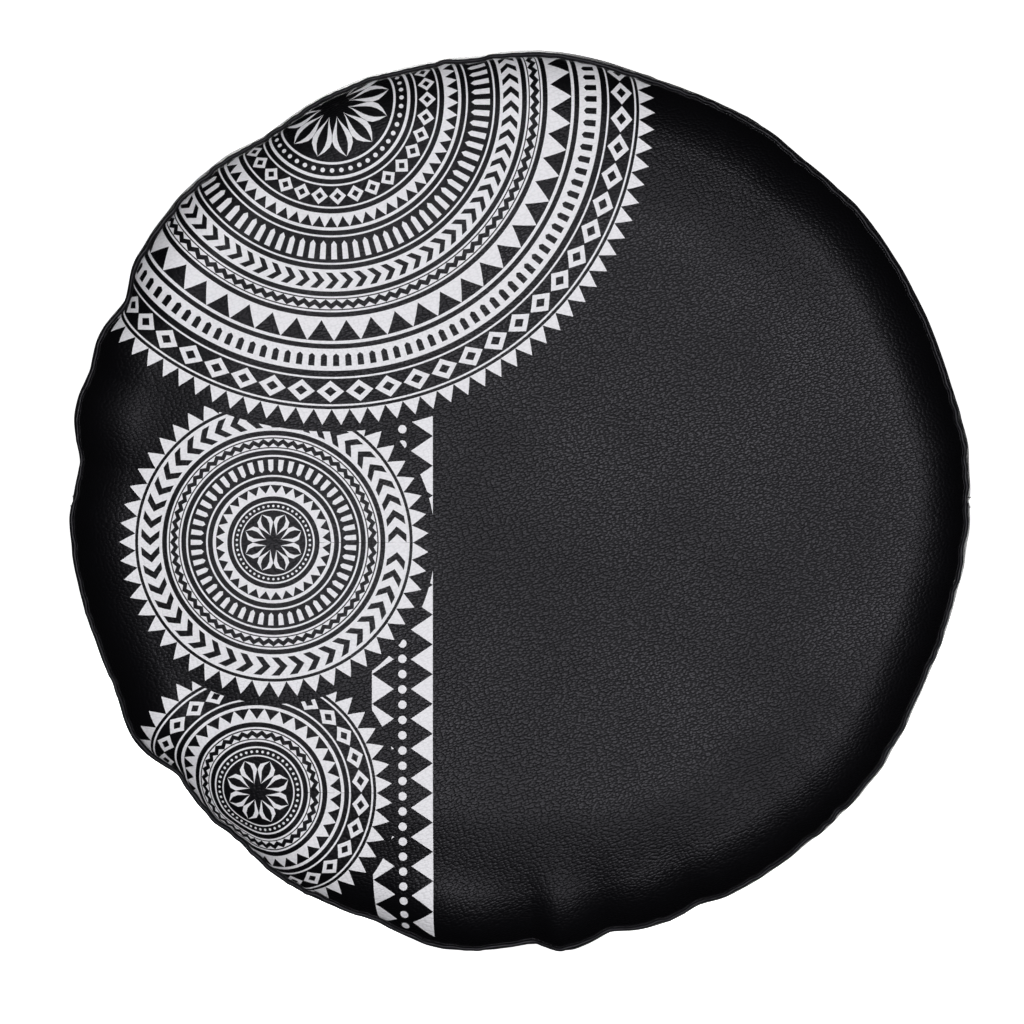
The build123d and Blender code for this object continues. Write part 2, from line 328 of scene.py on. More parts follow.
def grid_faces(rows, columns, start=0, closed=False, flip=False):
    """Quads of a rows by columns grid of points; closed joins its last column to its first."""
    i, j = np.meshgrid(np.arange(rows - 1), np.arange(columns if closed else columns - 1), indexing="ij")
    a = i * columns + j
    b = i * columns + (j + 1) % columns
    quads = np.stack([a, b, b + columns, a + columns], -1).reshape(-1, 4) + start
    return quads[:, ::-1] if flip else quads


def shell(outer, inner, closed, flip=False):
    """Points and faces of a closed sheet from the grids of its two sides."""
    rows, columns = outer.shape[:2]
    count = rows * columns
    points = np.concatenate([outer.reshape(-1, 3), inner.reshape(-1, 3)])
    front = grid_faces(rows, columns, 0, closed, not flip)
    back = grid_faces(rows, columns, count, closed, flip)
    edges = []
    spans = columns if closed else columns - 1
    for row, turned in ((0, flip), (rows - 1, not flip)):
        a = row * columns + np.arange(spans)
        b = row * columns + (np.arange(spans) + 1) % columns
        quad = np.stack([a, b, b + count, a + count], -1)
        edges.append(quad[:, ::-1] if turned else quad)
    if not closed:
        for column, turned in ((0, not flip), (columns - 1, flip)):
            a = np.arange(rows - 1) * columns + column
            quad = np.stack([a, a + columns, a + columns + count, a + count], -1)
            edges.append(quad[:, ::-1] if turned else quad)
    edges = np.concatenate(edges)
    return points, np.concatenate([front, back, edges]), (len(front), len(back), len(edges))


def make_sheet(name, sides, closed, material, slot, node=None, body="cover", flat=None):
    """A closed sheet of one material from the grids of its two sides."""
    points, faces, _ = shell(*sides, closed)
    return make_piece(name, points, faces, [material], slot, node, body=body, flat=flat)


def ring_tube(centre, out, side, radii, sections):
    """Closed tube round the ring: centre, out and side are arrays along it, radii per point."""
    turn = even_turns(sections)
    around = np.cos(turn)[None, :, None] * out[:, None] + np.sin(turn)[None, :, None] * side[:, None]
    points = centre[:, None] + around * radii[..., None]
    return points, grid_faces(len(centre) + 1, sections, 0, True) % (len(centre) * sections)


# ---------------------------------------------------------------- node materials

class Nodes:
    """Short way to write a material's node tree."""

    def __init__(self, name):
        self.material = bpy.data.materials.new(name)
        self.material.use_nodes = True
        self.tree = self.material.node_tree
        self.shader = self.tree.nodes["Principled BSDF"]

    def add(self, kind, links=None, **values):
        node = self.tree.nodes.new("ShaderNode" + kind)
        for key, value in values.items():
            if hasattr(node, key):
                setattr(node, key, value)
            else:
                node.inputs[key.replace("_", " ")].default_value = value
        for key, source in (links or {}).items():
            self.tree.links.new(source, node.inputs[key])
        return node

    def maths(self, operation, first, second=None):
        node = self.tree.nodes.new("ShaderNodeMath")
        node.operation = operation
        for socket, value in zip(node.inputs, (first, second)):
            if isinstance(value, (int, float)):
                socket.default_value = value
            elif value is not None:
                self.tree.links.new(value, socket)
        return node.outputs[0]

    def ramp(self, source, low, high, low_to, high_to):
        node = self.add("MapRange", {"Value": source}, clamp=True)
        for name, value in zip(("From Min", "From Max", "To Min", "To Max"), (low, high, low_to, high_to)):
            node.inputs[name].default_value = value
        return node.outputs[0]

    def colours(self, source, dark, light):
        node = self.add("Mix", data_type="RGBA")
        node.inputs[6].default_value = (*dark, 1)
        node.inputs[7].default_value = (*light, 1)
        self.tree.links.new(source, node.inputs[0])
        return node.outputs[2]

    def noise(self, vector, scale, detail=2.0, rough=0.5):
        node = self.add("TexNoise", {"Vector": vector})
        for name, value in (("Scale", scale), ("Detail", detail), ("Roughness", rough)):
            node.inputs[name].default_value = value
        return node.outputs[0]

    def wave(self, vector, direction, scale, distortion=0.0):
        return self.add("TexWave", {"Vector": vector}, wave_type="BANDS", bands_direction=direction,
                        Scale=scale, Distortion=distortion).outputs[1]

    def on_cloth(self):
        return self.add("Attribute", attribute_name="flat").outputs["Vector"]

    def place(self, scale=(1, 1, 1), turn=(0, 0, 0)):
        spot = self.add("TexCoord").outputs["Object"]
        node = self.add("Mapping", {"Vector": spot})
        node.inputs["Rotation"].default_value = turn
        node.inputs["Scale"].default_value = scale
        return node.outputs[0]

    def set(self, colour=None, rough=None, height=None, depth=0.1 * MM, **constants):
        """Links or sets the shader's colour, roughness and bump, and its constant sockets."""
        for name, value in (("Base Color", colour), ("Roughness", rough)):
            if isinstance(value, (tuple, float)):
                self.shader.inputs[name].default_value = (*value, 1) if name == "Base Color" else value
            elif value is not None:
                self.tree.links.new(value, self.shader.inputs[name])
        if height is not None:
            bump = self.add("Bump", {"Height": height})
            bump.inputs["Strength"].default_value = 1.0
            bump.inputs["Distance"].default_value = depth
            self.tree.links.new(bump.outputs[0], self.shader.inputs["Normal"])
        for name, value in constants.items():
            self.shader.inputs[name.replace("_", " ")].default_value = value
        return self.material


def vinyl(name, dark, light, smooth_rough, valley_rough, specular=0.14, grain=2.5 * MM, depth=0.26 * MM):
    """Pebble-grained coated fabric: slanting rounded cells laid out on the flat cloth, with dull
    pits between them, fine pores and slow variation. Handling polishes the tops. Painted
    shade darkens the colour in the pits, and a slow random tone varies it too."""
    n = Nodes(name)
    place = n.on_cloth()
    warp = n.add("TexNoise", {"Vector": place}, Scale=0.35 / grain, Detail=2.0)
    shift = n.add("VectorMath", {0: warp.outputs["Color"]}, operation="MULTIPLY_ADD")
    shift.inputs[1].default_value = (0.9 * grain,) * 3
    n.tree.links.new(place, shift.inputs[2])
    slant = n.add("Mapping", {"Vector": shift.outputs[0]}, vector_type="TEXTURE")
    slant.inputs["Rotation"].default_value = (0, 0, math.radians(20))
    slant.inputs["Scale"].default_value = (1.32, 0.78, 1.0)
    cells = n.add("TexVoronoi", {"Vector": slant.outputs[0]}, voronoi_dimensions="2D", feature="F1",
                  Scale=1 / grain, Randomness=0.75)
    pebble = n.ramp(cells.outputs["Distance"], 0.30, 0.70, 1.0, 0.0)
    pores = n.noise(place, 2.2 / grain, 3.0, 0.6)
    height = n.maths("ADD", pebble, n.maths("MULTIPLY", pores, 0.35))
    broad = n.noise(place, 6.0, 3.0, 0.55)
    # painted shade: the colour darkens in the pits between the cells (pebble), over a slow random tone
    # (broad)
    tone = n.maths("ADD", n.maths("MULTIPLY", broad, 0.4), n.maths("MULTIPLY", pebble, 0.6))
    colour = n.colours(tone, dark, light)
    gloss = n.maths("ADD", n.ramp(pebble, 0.0, 0.9, valley_rough, smooth_rough),
                    n.ramp(broad, 0.35, 0.65, -0.02, 0.03))
    return n.set(colour, gloss, height, depth, Specular_IOR_Level=specular,
                 Specular_Tint=(0.93, 0.91, 1.0, 1))


def knit_backing():
    """Pale knitted backing of the coated fabric: rows of small loops."""
    n = Nodes("knit_backing")
    place = n.on_cloth()
    loops = n.maths("MULTIPLY", n.wave(place, "X", 170.0, 0.6), n.wave(place, "Y", 130.0, 0.6))
    fuzz = n.noise(place, 900.0, 2.0)
    height = n.maths("ADD", loops, n.maths("MULTIPLY", fuzz, 0.5))
    colour = n.colours(n.maths("MULTIPLY", height, 0.8), (0.22, 0.22, 0.23), (0.42, 0.42, 0.42))
    return n.set(colour, n.ramp(fuzz, 0.2, 0.8, 0.82, 0.97), height, 0.2 * MM, Sheen_Weight=0.3)


def woven(name, dark, light, pitch, turn=(0, 0, 0), depth=0.25 * MM, rough=0.62):
    """Plain or ribbed weave from two crossing waves, with loose fibres."""
    n = Nodes(name)
    place = n.place(turn=turn)
    scale = 1 / pitch / 3.1
    over = n.maths("MAXIMUM", n.wave(place, "X", scale, 0.5), n.wave(place, "Z", scale, 0.5))
    fibre = n.noise(n.place((1, 1, 6), turn), 1.6 / pitch, 3.0)
    height = n.maths("ADD", over, n.maths("MULTIPLY", fibre, 0.4))
    colour = n.colours(n.maths("MULTIPLY", height, 0.75), dark, light)
    dull = n.ramp(fibre, 0.3, 0.7, rough - 0.06, rough + 0.12)
    return n.set(colour, dull, height, depth, Sheen_Weight=0.15)


def thread_material(name, dark, light):
    """Twisted thread: fine slanting bands with stray fibres."""
    n = Nodes(name)
    place = n.place()
    fuzz = n.noise(place, 2500.0)
    height = n.maths("ADD", n.wave(place, "DIAGONAL", 420.0), n.maths("MULTIPLY", fuzz, 0.4))
    return n.set(n.colours(height, dark, light), n.ramp(fuzz, 0.2, 0.8, 0.5, 0.75), height, 0.08 * MM)


def moulded_plastic():
    """Black acetal with the fine spark texture of its mould and softer worn patches."""
    n = Nodes("buckle_plastic")
    place = n.place()
    spark = n.noise(place, 2600.0, 2.0, 0.6)
    worn = n.noise(place, 60.0, 3.0, 0.6)
    colour = n.colours(worn, (0.009, 0.009, 0.010), (0.021, 0.021, 0.023))
    gloss = n.ramp(n.maths("ADD", spark, worn), 0.6, 1.4, 0.34, 0.52)
    return n.set(colour, gloss, spark, 0.05 * MM, Specular_IOR_Level=0.45)


BLACKS = ((0.0010, 0.0010, 0.0014), (0.0026, 0.0025, 0.0033))
FACE_VINYL = vinyl("face_vinyl", *BLACKS, 0.43, 0.53, 0.19)
INK_VINYL = vinyl("white_ink_on_vinyl", (0.74, 0.735, 0.77), (0.86, 0.85, 0.89), 0.56, 0.66)
BAND_VINYL = vinyl("band_vinyl", *BLACKS, 0.43, 0.53, 0.19)
PIPING_VINYL = vinyl("piping_vinyl", *BLACKS, 0.42, 0.48, 0.22, 1.2 * MM, 0.05 * MM)
KNIT = knit_backing()
WEBBING = woven("webbing_weave", (0.003, 0.003, 0.0035), (0.022, 0.022, 0.025), 1.6 * MM,
                (0, math.radians(45), 0), 0.3 * MM)
TAPE = woven("tape_weave", (0.010, 0.010, 0.011), (0.035, 0.035, 0.038), 0.7 * MM)
ELASTIC = woven("elastic_braid", (0.45, 0.44, 0.41), (0.75, 0.74, 0.70), 0.9 * MM)
KEEPER = woven("keeper_knit", (0.008, 0.008, 0.009), (0.03, 0.03, 0.033), 0.9 * MM)
SATIN = woven("label_satin", (0.62, 0.62, 0.61), (0.84, 0.84, 0.83), 0.35 * MM, depth=0.05 * MM, rough=0.4)
BLACK_THREAD = thread_material("black_thread", (0.008, 0.008, 0.009), (0.035, 0.035, 0.038))
PLASTIC = moulded_plastic()


# ---------------------------------------------------------------- the print, in flat millimetres

WHITE, BLACK = 1, 0
painted = []      # (outline, tone), the later over the earlier


def paint(outline, tone):
    painted.append((np.asarray(outline, float), tone))


def arc_line(centre, radius, start, end, step=2.5):
    """Arc from one bearing to another, in degrees."""
    count = max(3, int(abs(math.radians(end - start)) * radius / step))
    turns = np.radians(np.linspace(start, end, count))
    return centre + flat_ring(radius, turns)


class Strip:
    """A band along a line. Its own coordinates run along it, and across it from 0 to width,
    from its right side to its left; taper scales the across direction about its middle."""

    def __init__(self, line, width, taper=None):
        self.line, self.width, self.taper = line, width, taper
        steps = np.linalg.norm(np.diff(line, axis=0), axis=1)
        self.at = np.concatenate([[0], np.cumsum(steps)])
        self.length = self.at[-1]
        way = np.gradient(line, axis=0)
        way /= np.linalg.norm(way, axis=1, keepdims=True)
        self.left = np.stack([-way[:, 1], way[:, 0]], -1)

    def paint(self, shape, tone):
        """Paints a shape that is given in the strip's own coordinates."""
        shape = np.asarray(shape, float)
        dense = []
        for a, b in zip(shape, np.roll(shape, -1, axis=0)):
            count = max(1, int(np.linalg.norm(b - a) / 4.5))
            dense += [a + (b - a) * t for t in np.arange(count) / count]
        dense = np.array(dense)
        along = np.clip(dense[:, 0], 0, self.length)
        middle = np.stack([np.interp(along, self.at, self.line[:, k]) for k in (0, 1)], -1)
        left = np.stack([np.interp(along, self.at, self.left[:, k]) for k in (0, 1)], -1)
        across = dense[:, 1] - self.width / 2
        if self.taper is not None:
            across = across * self.taper(along / self.length)
        paint(middle + left * across[:, None], tone)

    def row(self, pitch, tone, shape, spare=0.0):
        """Repeats a shape over the strip, less a spare length. The shape's corners are shares of
        one step and of the width."""
        for start, step in each(self.length - spare, pitch):
            self.paint([(start + step * a, self.width * b) for a, b in shape], tone)

    def fill(self, tone, low=0.0, high=1.0):
        """Paints the share of the strip's width from low to high."""
        a, b = low * self.width, high * self.width
        self.paint([(0, a), (self.length, a), (self.length, b), (0, b)], tone)


def disc(centre, radius, sides=12):
    return centre + flat_ring(radius, even_turns(sides))


def each(length, pitch):
    """Start and length of the equal steps, near a pitch, that fill a length."""
    count = max(1, round(length / pitch))
    return [(i * length / count, length / count) for i in range(count)]


def teeth(strip, pitch, tone, low=0.0, high=1.0):
    """Row of solid triangles that stand on the low side; low and high are shares of the width."""
    strip.row(pitch, tone, [(0, low), (1, low), (0.5, high)])


def two_rows(strip, pitch, tone):
    """Two facing rows of triangles with a zigzag between them."""
    teeth(strip, pitch, tone, 0.0, 0.42)
    w = strip.width
    for start, step in each(strip.length, pitch)[:-1]:
        strip.paint([(start + step / 2, w), (start + 1.5 * step, w), (start + step, 0.58 * w)], tone)


def bars(strip, pitch, tone):
    """Comb of bars across the strip with pointed inner ends."""
    strip.row(pitch, tone, [(0.25, 0.1), (0.75, 0.1), (0.75, 0.75), (0.5, 0.9), (0.25, 0.75)])


def dots(strip, pitch, tone):
    for start, step in each(strip.length, pitch):
        strip.paint(disc((start + step / 2, strip.width / 2), 0.32 * strip.width), tone)


def chevrons(strip, pitch, tone):
    strip.row(pitch, tone, [(0, 0), (0.45, 0), (0.95, 0.5), (0.45, 1), (0, 1), (0.5, 0.5)], pitch / 2)


def lozenges(strip, pitch, tone):
    """Row of lozenges, each with a smaller one left out of its middle."""
    for half, ink in ((0.47, tone), (0.21, 1 - tone)):
        strip.row(pitch, ink, [(0.5 - half, 0.5), (0.5, 0.5 - half), (0.5 + half, 0.5), (0.5, 0.5 + half)])


def band(line, width, motif, pitch, ground, rail=1.5):
    """A motif along a line: white between two thin white rails, or black on a white ground."""
    whole = Strip(line, width)
    whole.fill(ground)
    if ground == BLACK:
        whole.fill(WHITE, 0, rail / width)
        whole.fill(WHITE, 1 - rail / width, 1)
    motif(Strip(line, width - 2 * rail - 2), pitch, 1 - ground)


def petal(t):
    """Width of a petal along it, as a share of the greatest."""
    return np.sin(math.pi * t ** 1.4)


def rosette(centre, rows, hub, petals, start=0, end=360):
    """Rings of motifs about a flower, with a sawtooth and a black margin outside them. rows holds
    each ring's outer and inner radius, motif, pitch and ground, from the outside in."""
    radius, margin = rows[0][0] + 2, 19
    tooth_height, tooth_pitch = 13, 15
    paint(disc(centre, radius + margin, 140), BLACK)
    # the arc runs clockwise, so that the strip's right side, where its teeth stand, is the inner one
    teeth(Strip(arc_line(centre, radius + 7, end, start), tooth_height), tooth_pitch, WHITE)
    paint(disc(centre, radius, 140), BLACK)
    for outer, inner, motif, pitch, ground in rows:
        band(arc_line(centre, (outer + inner) / 2, start, end), outer - inner, motif, pitch, ground)
    for share, tone in ((1, WHITE), (0.96, BLACK), (0.81, WHITE), (0.78, BLACK)):
        paint(disc(centre, hub * share, 80), tone)
    dots(Strip(arc_line(centre, 0.886 * hub, 0, 360), 0.094 * hub), 0.12 * hub, WHITE)
    reach = np.linspace(0.19, 0.73, 12) * hub
    for turn in (np.arange(petals) + 0.5) * TURN / petals:
        line = centre + flat_ring(reach, turn)
        Strip(line, 3.2 * hub / petals, petal).fill(WHITE)
        Strip(line, 1.5 * hub / petals, petal).fill(BLACK)


def paint_column():
    """Upright border of facing triangles and dots."""
    line = np.stack([np.full(90, -94.0), np.linspace(-360, 80, 90)], -1)
    column = Strip(line, 50)
    teeth(column, 25, WHITE, 0.0, 0.36)
    teeth(column, 25, WHITE, 1.0, 0.64)
    dots(Strip(line, 11), 12.5, WHITE)


def paint_rosettes():
    """Three rosettes down the panel's left, each over the one below it."""
    rosette((-214, -238), [
        (96, 76, lozenges, 20, BLACK),
        (72, 58, teeth, 12, WHITE),
        (54, 42, two_rows, 8, BLACK)], 38, 8)
    rosette((-200, -32), [
        (112, 92, chevrons, 14, WHITE),
        (88, 76, two_rows, 8, BLACK),
        (72, 54, bars, 8, BLACK),
        (50, 38, teeth, 9, WHITE)], 34, 8)
    rosette((-152, 330), [
        (250, 226, lozenges, 24, BLACK),
        (221, 203, bars, 10, WHITE),
        (199, 177, teeth, 21, WHITE),
        (173, 160, two_rows, 9, BLACK),
        (156, 138, chevrons, 12, WHITE),
        (134, 110, bars, 9, BLACK),
        (106, 92, teeth, 10, WHITE),
        (88, 68, lozenges, 15, BLACK)], 64, 12, 180, 400)


def inside(points, outline):
    """Which points lie inside an outline."""
    x, y = points[:, 0], points[:, 1]
    hit = np.zeros(len(points), bool)
    for (ax, ay), (bx, by) in zip(outline, np.roll(outline, -1, axis=0)):
        if ay != by:
            hit ^= ((ay > y) != (by > y)) & (x < (bx - ax) * (y - ay) / (by - ay) + ax)
    return hit


# ---------------------------------------------------------------- face panel

RIM_COLUMNS = 760
MIDDLE_RADIUS = 300               # flat radius of the six-sided grid, in millimetres
FACE_RIM = S_SEAM / MM - 0.6      # flat radius of the face panel's edge, in millimetres


def disc_points(inner_step, ring_step, columns):
    """Six-sided grid in the flat middle and rings towards the rim, without the rim itself."""
    count = int(MIDDLE_RADIUS / inner_step) + 2
    i, j = np.meshgrid(np.arange(-count, count), np.arange(-count, count))
    grid = np.stack([(i + 0.5 * (j % 2)) * inner_step, j * inner_step * 0.866], -1).reshape(-1, 2)
    grid = grid[np.hypot(*grid.T) < MIDDLE_RADIUS - inner_step / 2]
    rings = [grid]
    for k, radius in enumerate(np.arange(MIDDLE_RADIUS, FACE_RIM - ring_step / 2, ring_step)):
        rings.append(flat_ring(radius, (np.arange(columns) + 0.5 * (k % 2)) * TURN / columns))
    return np.concatenate(rings)


def triangulate(points, outlines):
    """Triangles of the flat disc that keep every outline as edges."""
    stack, edges, start = [points], [], len(points)
    for outline in outlines:
        count = len(outline)
        stack.append(outline)
        ids = np.arange(count) + start
        edges.append(np.stack([ids, np.roll(ids, -1)], -1))
        start += count
    flat = [tuple(p) for p in np.concatenate(stack).tolist()]
    found = delaunay_2d_cdt(flat, np.concatenate(edges).tolist(), [], 0, 1e-3, False)
    return np.array([tuple(v) for v in found[0]]), np.array([tuple(f) for f in found[2]])


def inside_rim(middle, rim_turns):
    """Which points lie inside the many-sided rim."""
    turns = np.arctan2(middle[:, 1], middle[:, 0]) % TURN
    k = np.searchsorted(rim_turns, turns) % len(rim_turns)
    a, b = rim_turns[k - 1], rim_turns[k]
    half = ((b - a) % TURN) / 2
    chord = FACE_RIM * np.cos(half) / np.cos((turns - a) % TURN - half)
    return np.hypot(*middle.T) < chord - 1e-3


def rim_of(points, faces):
    """Boundary points in order of their turn."""
    edges = np.sort(np.concatenate([faces[:, [0, 1]], faces[:, [1, 2]], faces[:, [2, 0]]]), axis=1)
    unique, counts = np.unique(edges, axis=0, return_counts=True)
    ids = np.unique(unique[counts == 1])
    return ids[np.argsort(np.arctan2(points[ids, 1], points[ids, 0]) % TURN)]


def face_sheet():
    """Face panel with its print as crisp areas of ink on one mesh, and its knitted back."""
    paint_column()
    paint_rosettes()
    kept = [layer for layer in painted if np.hypot(*layer[0].T).min() < FACE_RIM + 4]
    turns = np.arange(RIM_COLUMNS) * TURN / RIM_COLUMNS
    outlines = [flat_ring(FACE_RIM, turns)] + [outline for outline, _ in kept]
    flat, faces = triangulate(disc_points(6.5, 3.0, RIM_COLUMNS), outlines)
    middle = flat[faces].mean(axis=1)
    faces = faces[inside_rim(middle, turns)]
    middle = flat[faces].mean(axis=1)
    tone = np.zeros(len(faces), int)
    for outline, ink in kept:
        near = np.nonzero(((middle >= outline.min(0)) & (middle <= outline.max(0))).all(axis=1))[0]
        tone[near[inside(middle[near], outline)]] = ink
    used, faces = np.unique(faces, return_inverse=True)
    flat, faces = flat[used], faces.reshape(-1, 3)
    outer_rim = rim_of(flat, faces)
    rim_turns = np.arctan2(flat[outer_rim, 1], flat[outer_rim, 0]) % TURN

    back, back_faces = triangulate(disc_points(11, 8.0, 300), [flat_ring(FACE_RIM, rim_turns)])
    back_faces = back_faces[inside_rim(back[back_faces].mean(axis=1), rim_turns)]
    inner_rim = rim_of(back, back_faces)

    def lay(points, lift):
        s, angle = np.hypot(*points.T) * MM, np.arctan2(points[:, 1], points[:, 0])
        return cloth(s, angle, lift), cloth_normals(s, angle, lift)

    front_points, front_normals = lay(flat, 0)
    back_points, back_normals = lay(back, -SKIN)
    count = len(outer_rim)
    following = np.roll(np.arange(count), -1)
    inner_rim = inner_rim + len(flat)
    edge = np.stack([outer_rim, inner_rim, inner_rim[following], outer_rim[following]], -1)
    every = faces.tolist() + (back_faces[:, ::-1] + len(flat)).tolist() + edge.tolist()
    indices = np.concatenate([tone, np.full(len(back_faces), 2), np.zeros(count, int)])
    piece = make_piece("face_sheet", np.concatenate([front_points, back_points]), every,
                       [FACE_VINYL, INK_VINYL, KNIT], "face_vinyl", "face_panel", indices,
                       flat=np.concatenate([flat, back]) * MM)
    normals = np.concatenate([front_normals, -back_normals])
    piece.data.normals_split_custom_set_from_vertices(normals.tolist())
    return piece


# ---------------------------------------------------------------- side band and hem

BAND_COLUMNS = 430
JOINT_GAP = 0.12 * MM


def band_rows():
    near = S_SEAM + 0.6 * MM + np.arange(0, 14, 2) * MM
    tread = np.linspace(near[-1] + 3 * MM, S_BACK - 20 * MM, 36)
    back = np.linspace(tread[-1] + 3 * MM, S_HEM + 1.5 * MM, 27)
    return np.concatenate([near, tread, back])


def band_half(name, node, start):
    """One half of the side band, as a closed sheet with a knitted inner side."""
    gap = JOINT_GAP / OUTER_RADIUS
    angles = np.linspace(start + gap, start + math.pi - gap, BAND_COLUMNS)
    rows = band_rows()[:, None]
    points, faces, (front, back, _) = shell(cloth(rows, angles), cloth(rows, angles, -SKIN), False)
    indices = np.zeros(len(faces), int)
    indices[front:front + back] = 1
    return make_piece(name, points, faces, [BAND_VINYL, KNIT], "band_vinyl", node, indices,
                      flat=lay_flat(rows, angles, 2))


def lay_flat(s, angle, sides=1):
    """Places on the flat cloth of a grid of points, once for each side of the sheet."""
    along, across = np.broadcast_arrays(angle * OUTER_RADIUS, s)
    return np.tile(np.stack([along, across], -1).reshape(-1, 2), (sides, 1))


def hem_centre(angle):
    """Centre line of the hem: it rides up and down with the gathers."""
    free = pressed_flat(HEM_RADIUS * np.cos(angle), HEM_RADIUS * np.sin(angle), 1)
    phase = pleat_phase(angle)
    rise = (1.3 * ridges(phase) + 0.7 * ring_noise(angle, 51, 5, 25)) * MM * free
    radius = HEM_RADIUS + 0.8 * MM * ring_noise(angle, 52, 6, 30)
    return axis_ring(radius, HEM_DEPTH + rise, angle), free


def ring_frame(angle, lean=1.0, rise=0.0):
    """Two directions across a ring's line. lean and rise are the sine and cosine of how far the
    first one turns from the front to straight out."""
    return axis_ring(lean, -rise, angle), axis_ring(rise, lean, angle)


def hem_pieces():
    """Scrunched casing, the allowance sewn behind the band and the elastic inside the casing."""
    columns, sections = 1180, 20
    angle, turn = even_turns(columns), even_turns(sections)
    centre, free = hem_centre(angle)
    phase = pleat_phase(angle)[:, None] + 0.5 * np.sin(turn)[None]
    lobes = 0.62 * ridges(phase) + 0.38 * ridges(2 * phase + 1)
    fine = ring_noise(angle, 53, 150, 260, 12)[:, None]
    radii = CASING_RADIUS * (0.93 + 0.17 * lobes * (0.35 + 0.65 * free[:, None]) + 0.025 * fine)
    points, faces = ring_tube(centre, *ring_frame(angle), radii, sections)
    casing = make_piece("hem_roll", points, faces, [BAND_VINYL], "band_vinyl", "hem_casing",
                        flat=lay_flat(turn[None] * CASING_RADIUS, angle[:, None]))

    rows = np.linspace(S_HEM - 16 * MM, S_HEM + 3 * MM, 8)[:, None]
    round_ = even_turns(640)
    sides = (cloth(rows, round_, -SKIN - 0.1 * MM), cloth(rows, round_, -2 * SKIN))
    lap = make_sheet("hem_allowance", sides, True, BAND_VINYL, "band_vinyl", flat=lay_flat(rows, round_, 2))

    coarse = angle[::2]
    radii = np.full((len(coarse), 1), 2.5 * MM)
    points, faces = ring_tube(hem_centre(coarse)[0], *ring_frame(coarse), radii, 10)
    make_piece("hem_elastic_cord", points, faces, [ELASTIC], "elastic", "hem_elastic")
    return casing, lap


def piping():
    """Round bead in the face seam, which is returned, and its filler cord."""
    angle = even_turns(1500)
    centre = cloth(S_SEAM + 0.3 * MM * ring_noise(angle, 61, 8, 40), angle, BEAD_LIFT)
    across = ring_frame(angle, math.sin(SEAM_TURN), math.cos(SEAM_TURN))
    made = []
    for name, node, radius, sections, material, slot in (
            ("piping_bead", "face_piping", BEAD_RADIUS, 10, PIPING_VINYL, "piping_vinyl"),
            ("piping_filler", "piping_cord", 0.9 * MM, 6, ELASTIC, "cord_filler")):
        radii = radius * (1 + 0.05 * ring_noise(angle, 62, 150, 330))[:, None]
        points, faces = ring_tube(centre, *across, radii, sections)
        flat = lay_flat(even_turns(sections)[None] * radius, angle[:, None])
        made.append(make_piece(name, points, faces, [material], slot, node, flat=flat))
    return made[0]


def joint_strips(spans, half_width, columns, lifts):
    """Points and faces of strips of cloth inside both joints of the band, over some spans of the
    profile. lifts are those of the strips' two sides."""
    points, faces = [], []
    for middle in (0, math.pi):
        across = middle + np.linspace(-half_width, half_width, columns) / OUTER_RADIUS
        for rows in spans:
            own, quads, _ = shell(*(cloth(rows[:, None], across, lift) for lift in lifts), False)
            faces.append(quads + sum(len(p) for p in points))
            points.append(own)
    return np.concatenate(points), np.concatenate(faces)


def tapes():
    """Binding tape behind the face seam, tape inside the band's two joints, and the cloth that is
    turned in at those joints, which is returned."""
    rows = (S_SEAM + np.linspace(-2.5, 13.5, 12) * MM)[:, None]
    angle = even_turns(720)
    inner_lift = -SKIN - 1.4 * MM + 0.3 * MM * ring_noise(angle, 63, 90, 200, 12)
    sides = (cloth(rows, angle, -SKIN - 0.15 * MM), cloth(rows, angle, inner_lift))
    make_sheet("seam_binding", sides, True, TAPE, "tape", "face_seam_tape")
    tread = np.linspace(S_TREAD, S_REAR, 40)
    strips = joint_strips([tread], 11 * MM, 12, (-SKIN - 0.15 * MM, -SKIN - 1.3 * MM))
    make_piece("joint_binding", *strips, [TAPE], "tape", "band_joint_tapes")
    front = np.linspace(S_SEAM + 14 * MM, S_TREAD - MM, 24)
    rear = np.linspace(S_REAR + MM, S_HEM - 17 * MM, 24)
    strips = joint_strips([front, rear], 8 * MM, 10, (-SKIN - 0.05 * MM, -2 * SKIN))
    return make_piece("joint_allowance", *strips, [BAND_VINYL], "band_vinyl")


# ---------------------------------------------------------------- stitches

def stitches(name, spots, ways, ups, length, thick, node=None):
    """Row of single stitches: short threads that dive into the cloth at both ends."""
    spots, ways, ups = (np.asarray(a, float) for a in (spots, ways, ups))
    ways = ways / np.linalg.norm(ways, axis=1, keepdims=True)
    sides = np.cross(ways, ups)
    sides /= np.linalg.norm(sides, axis=1, keepdims=True)
    ups = np.cross(sides, ways)
    along = np.array([-0.5, -0.38, -0.15, 0.15, 0.38, 0.5]) * length
    rise = np.array([-0.9, 0.35, 0.75, 0.75, 0.35, -0.9]) * thick / 2
    fat = np.array([0.55, 0.95, 1.0, 1.0, 0.95, 0.55]) * thick / 2
    turn = even_turns(6)
    centre = spots[:, None] + ways[:, None] * along[None, :, None] + ups[:, None] * rise[None, :, None]
    ring = (np.cos(turn)[:, None] * sides[:, None, None] + np.sin(turn)[:, None] * ups[:, None, None])
    points = centre[:, :, None] + ring * fat[None, :, None, None]
    firsts = np.arange(len(spots)) * 36      # each stitch has six rings of six points
    faces = (grid_faces(6, 6, 0, True)[None] + firsts[:, None, None]).reshape(-1, 4).tolist()
    for first in firsts.tolist():
        faces.append([first + c for c in range(6)][::-1])
        faces.append([first + 30 + c for c in range(6)])
    return make_piece(name, points, faces, [BLACK_THREAD], "thread", node)


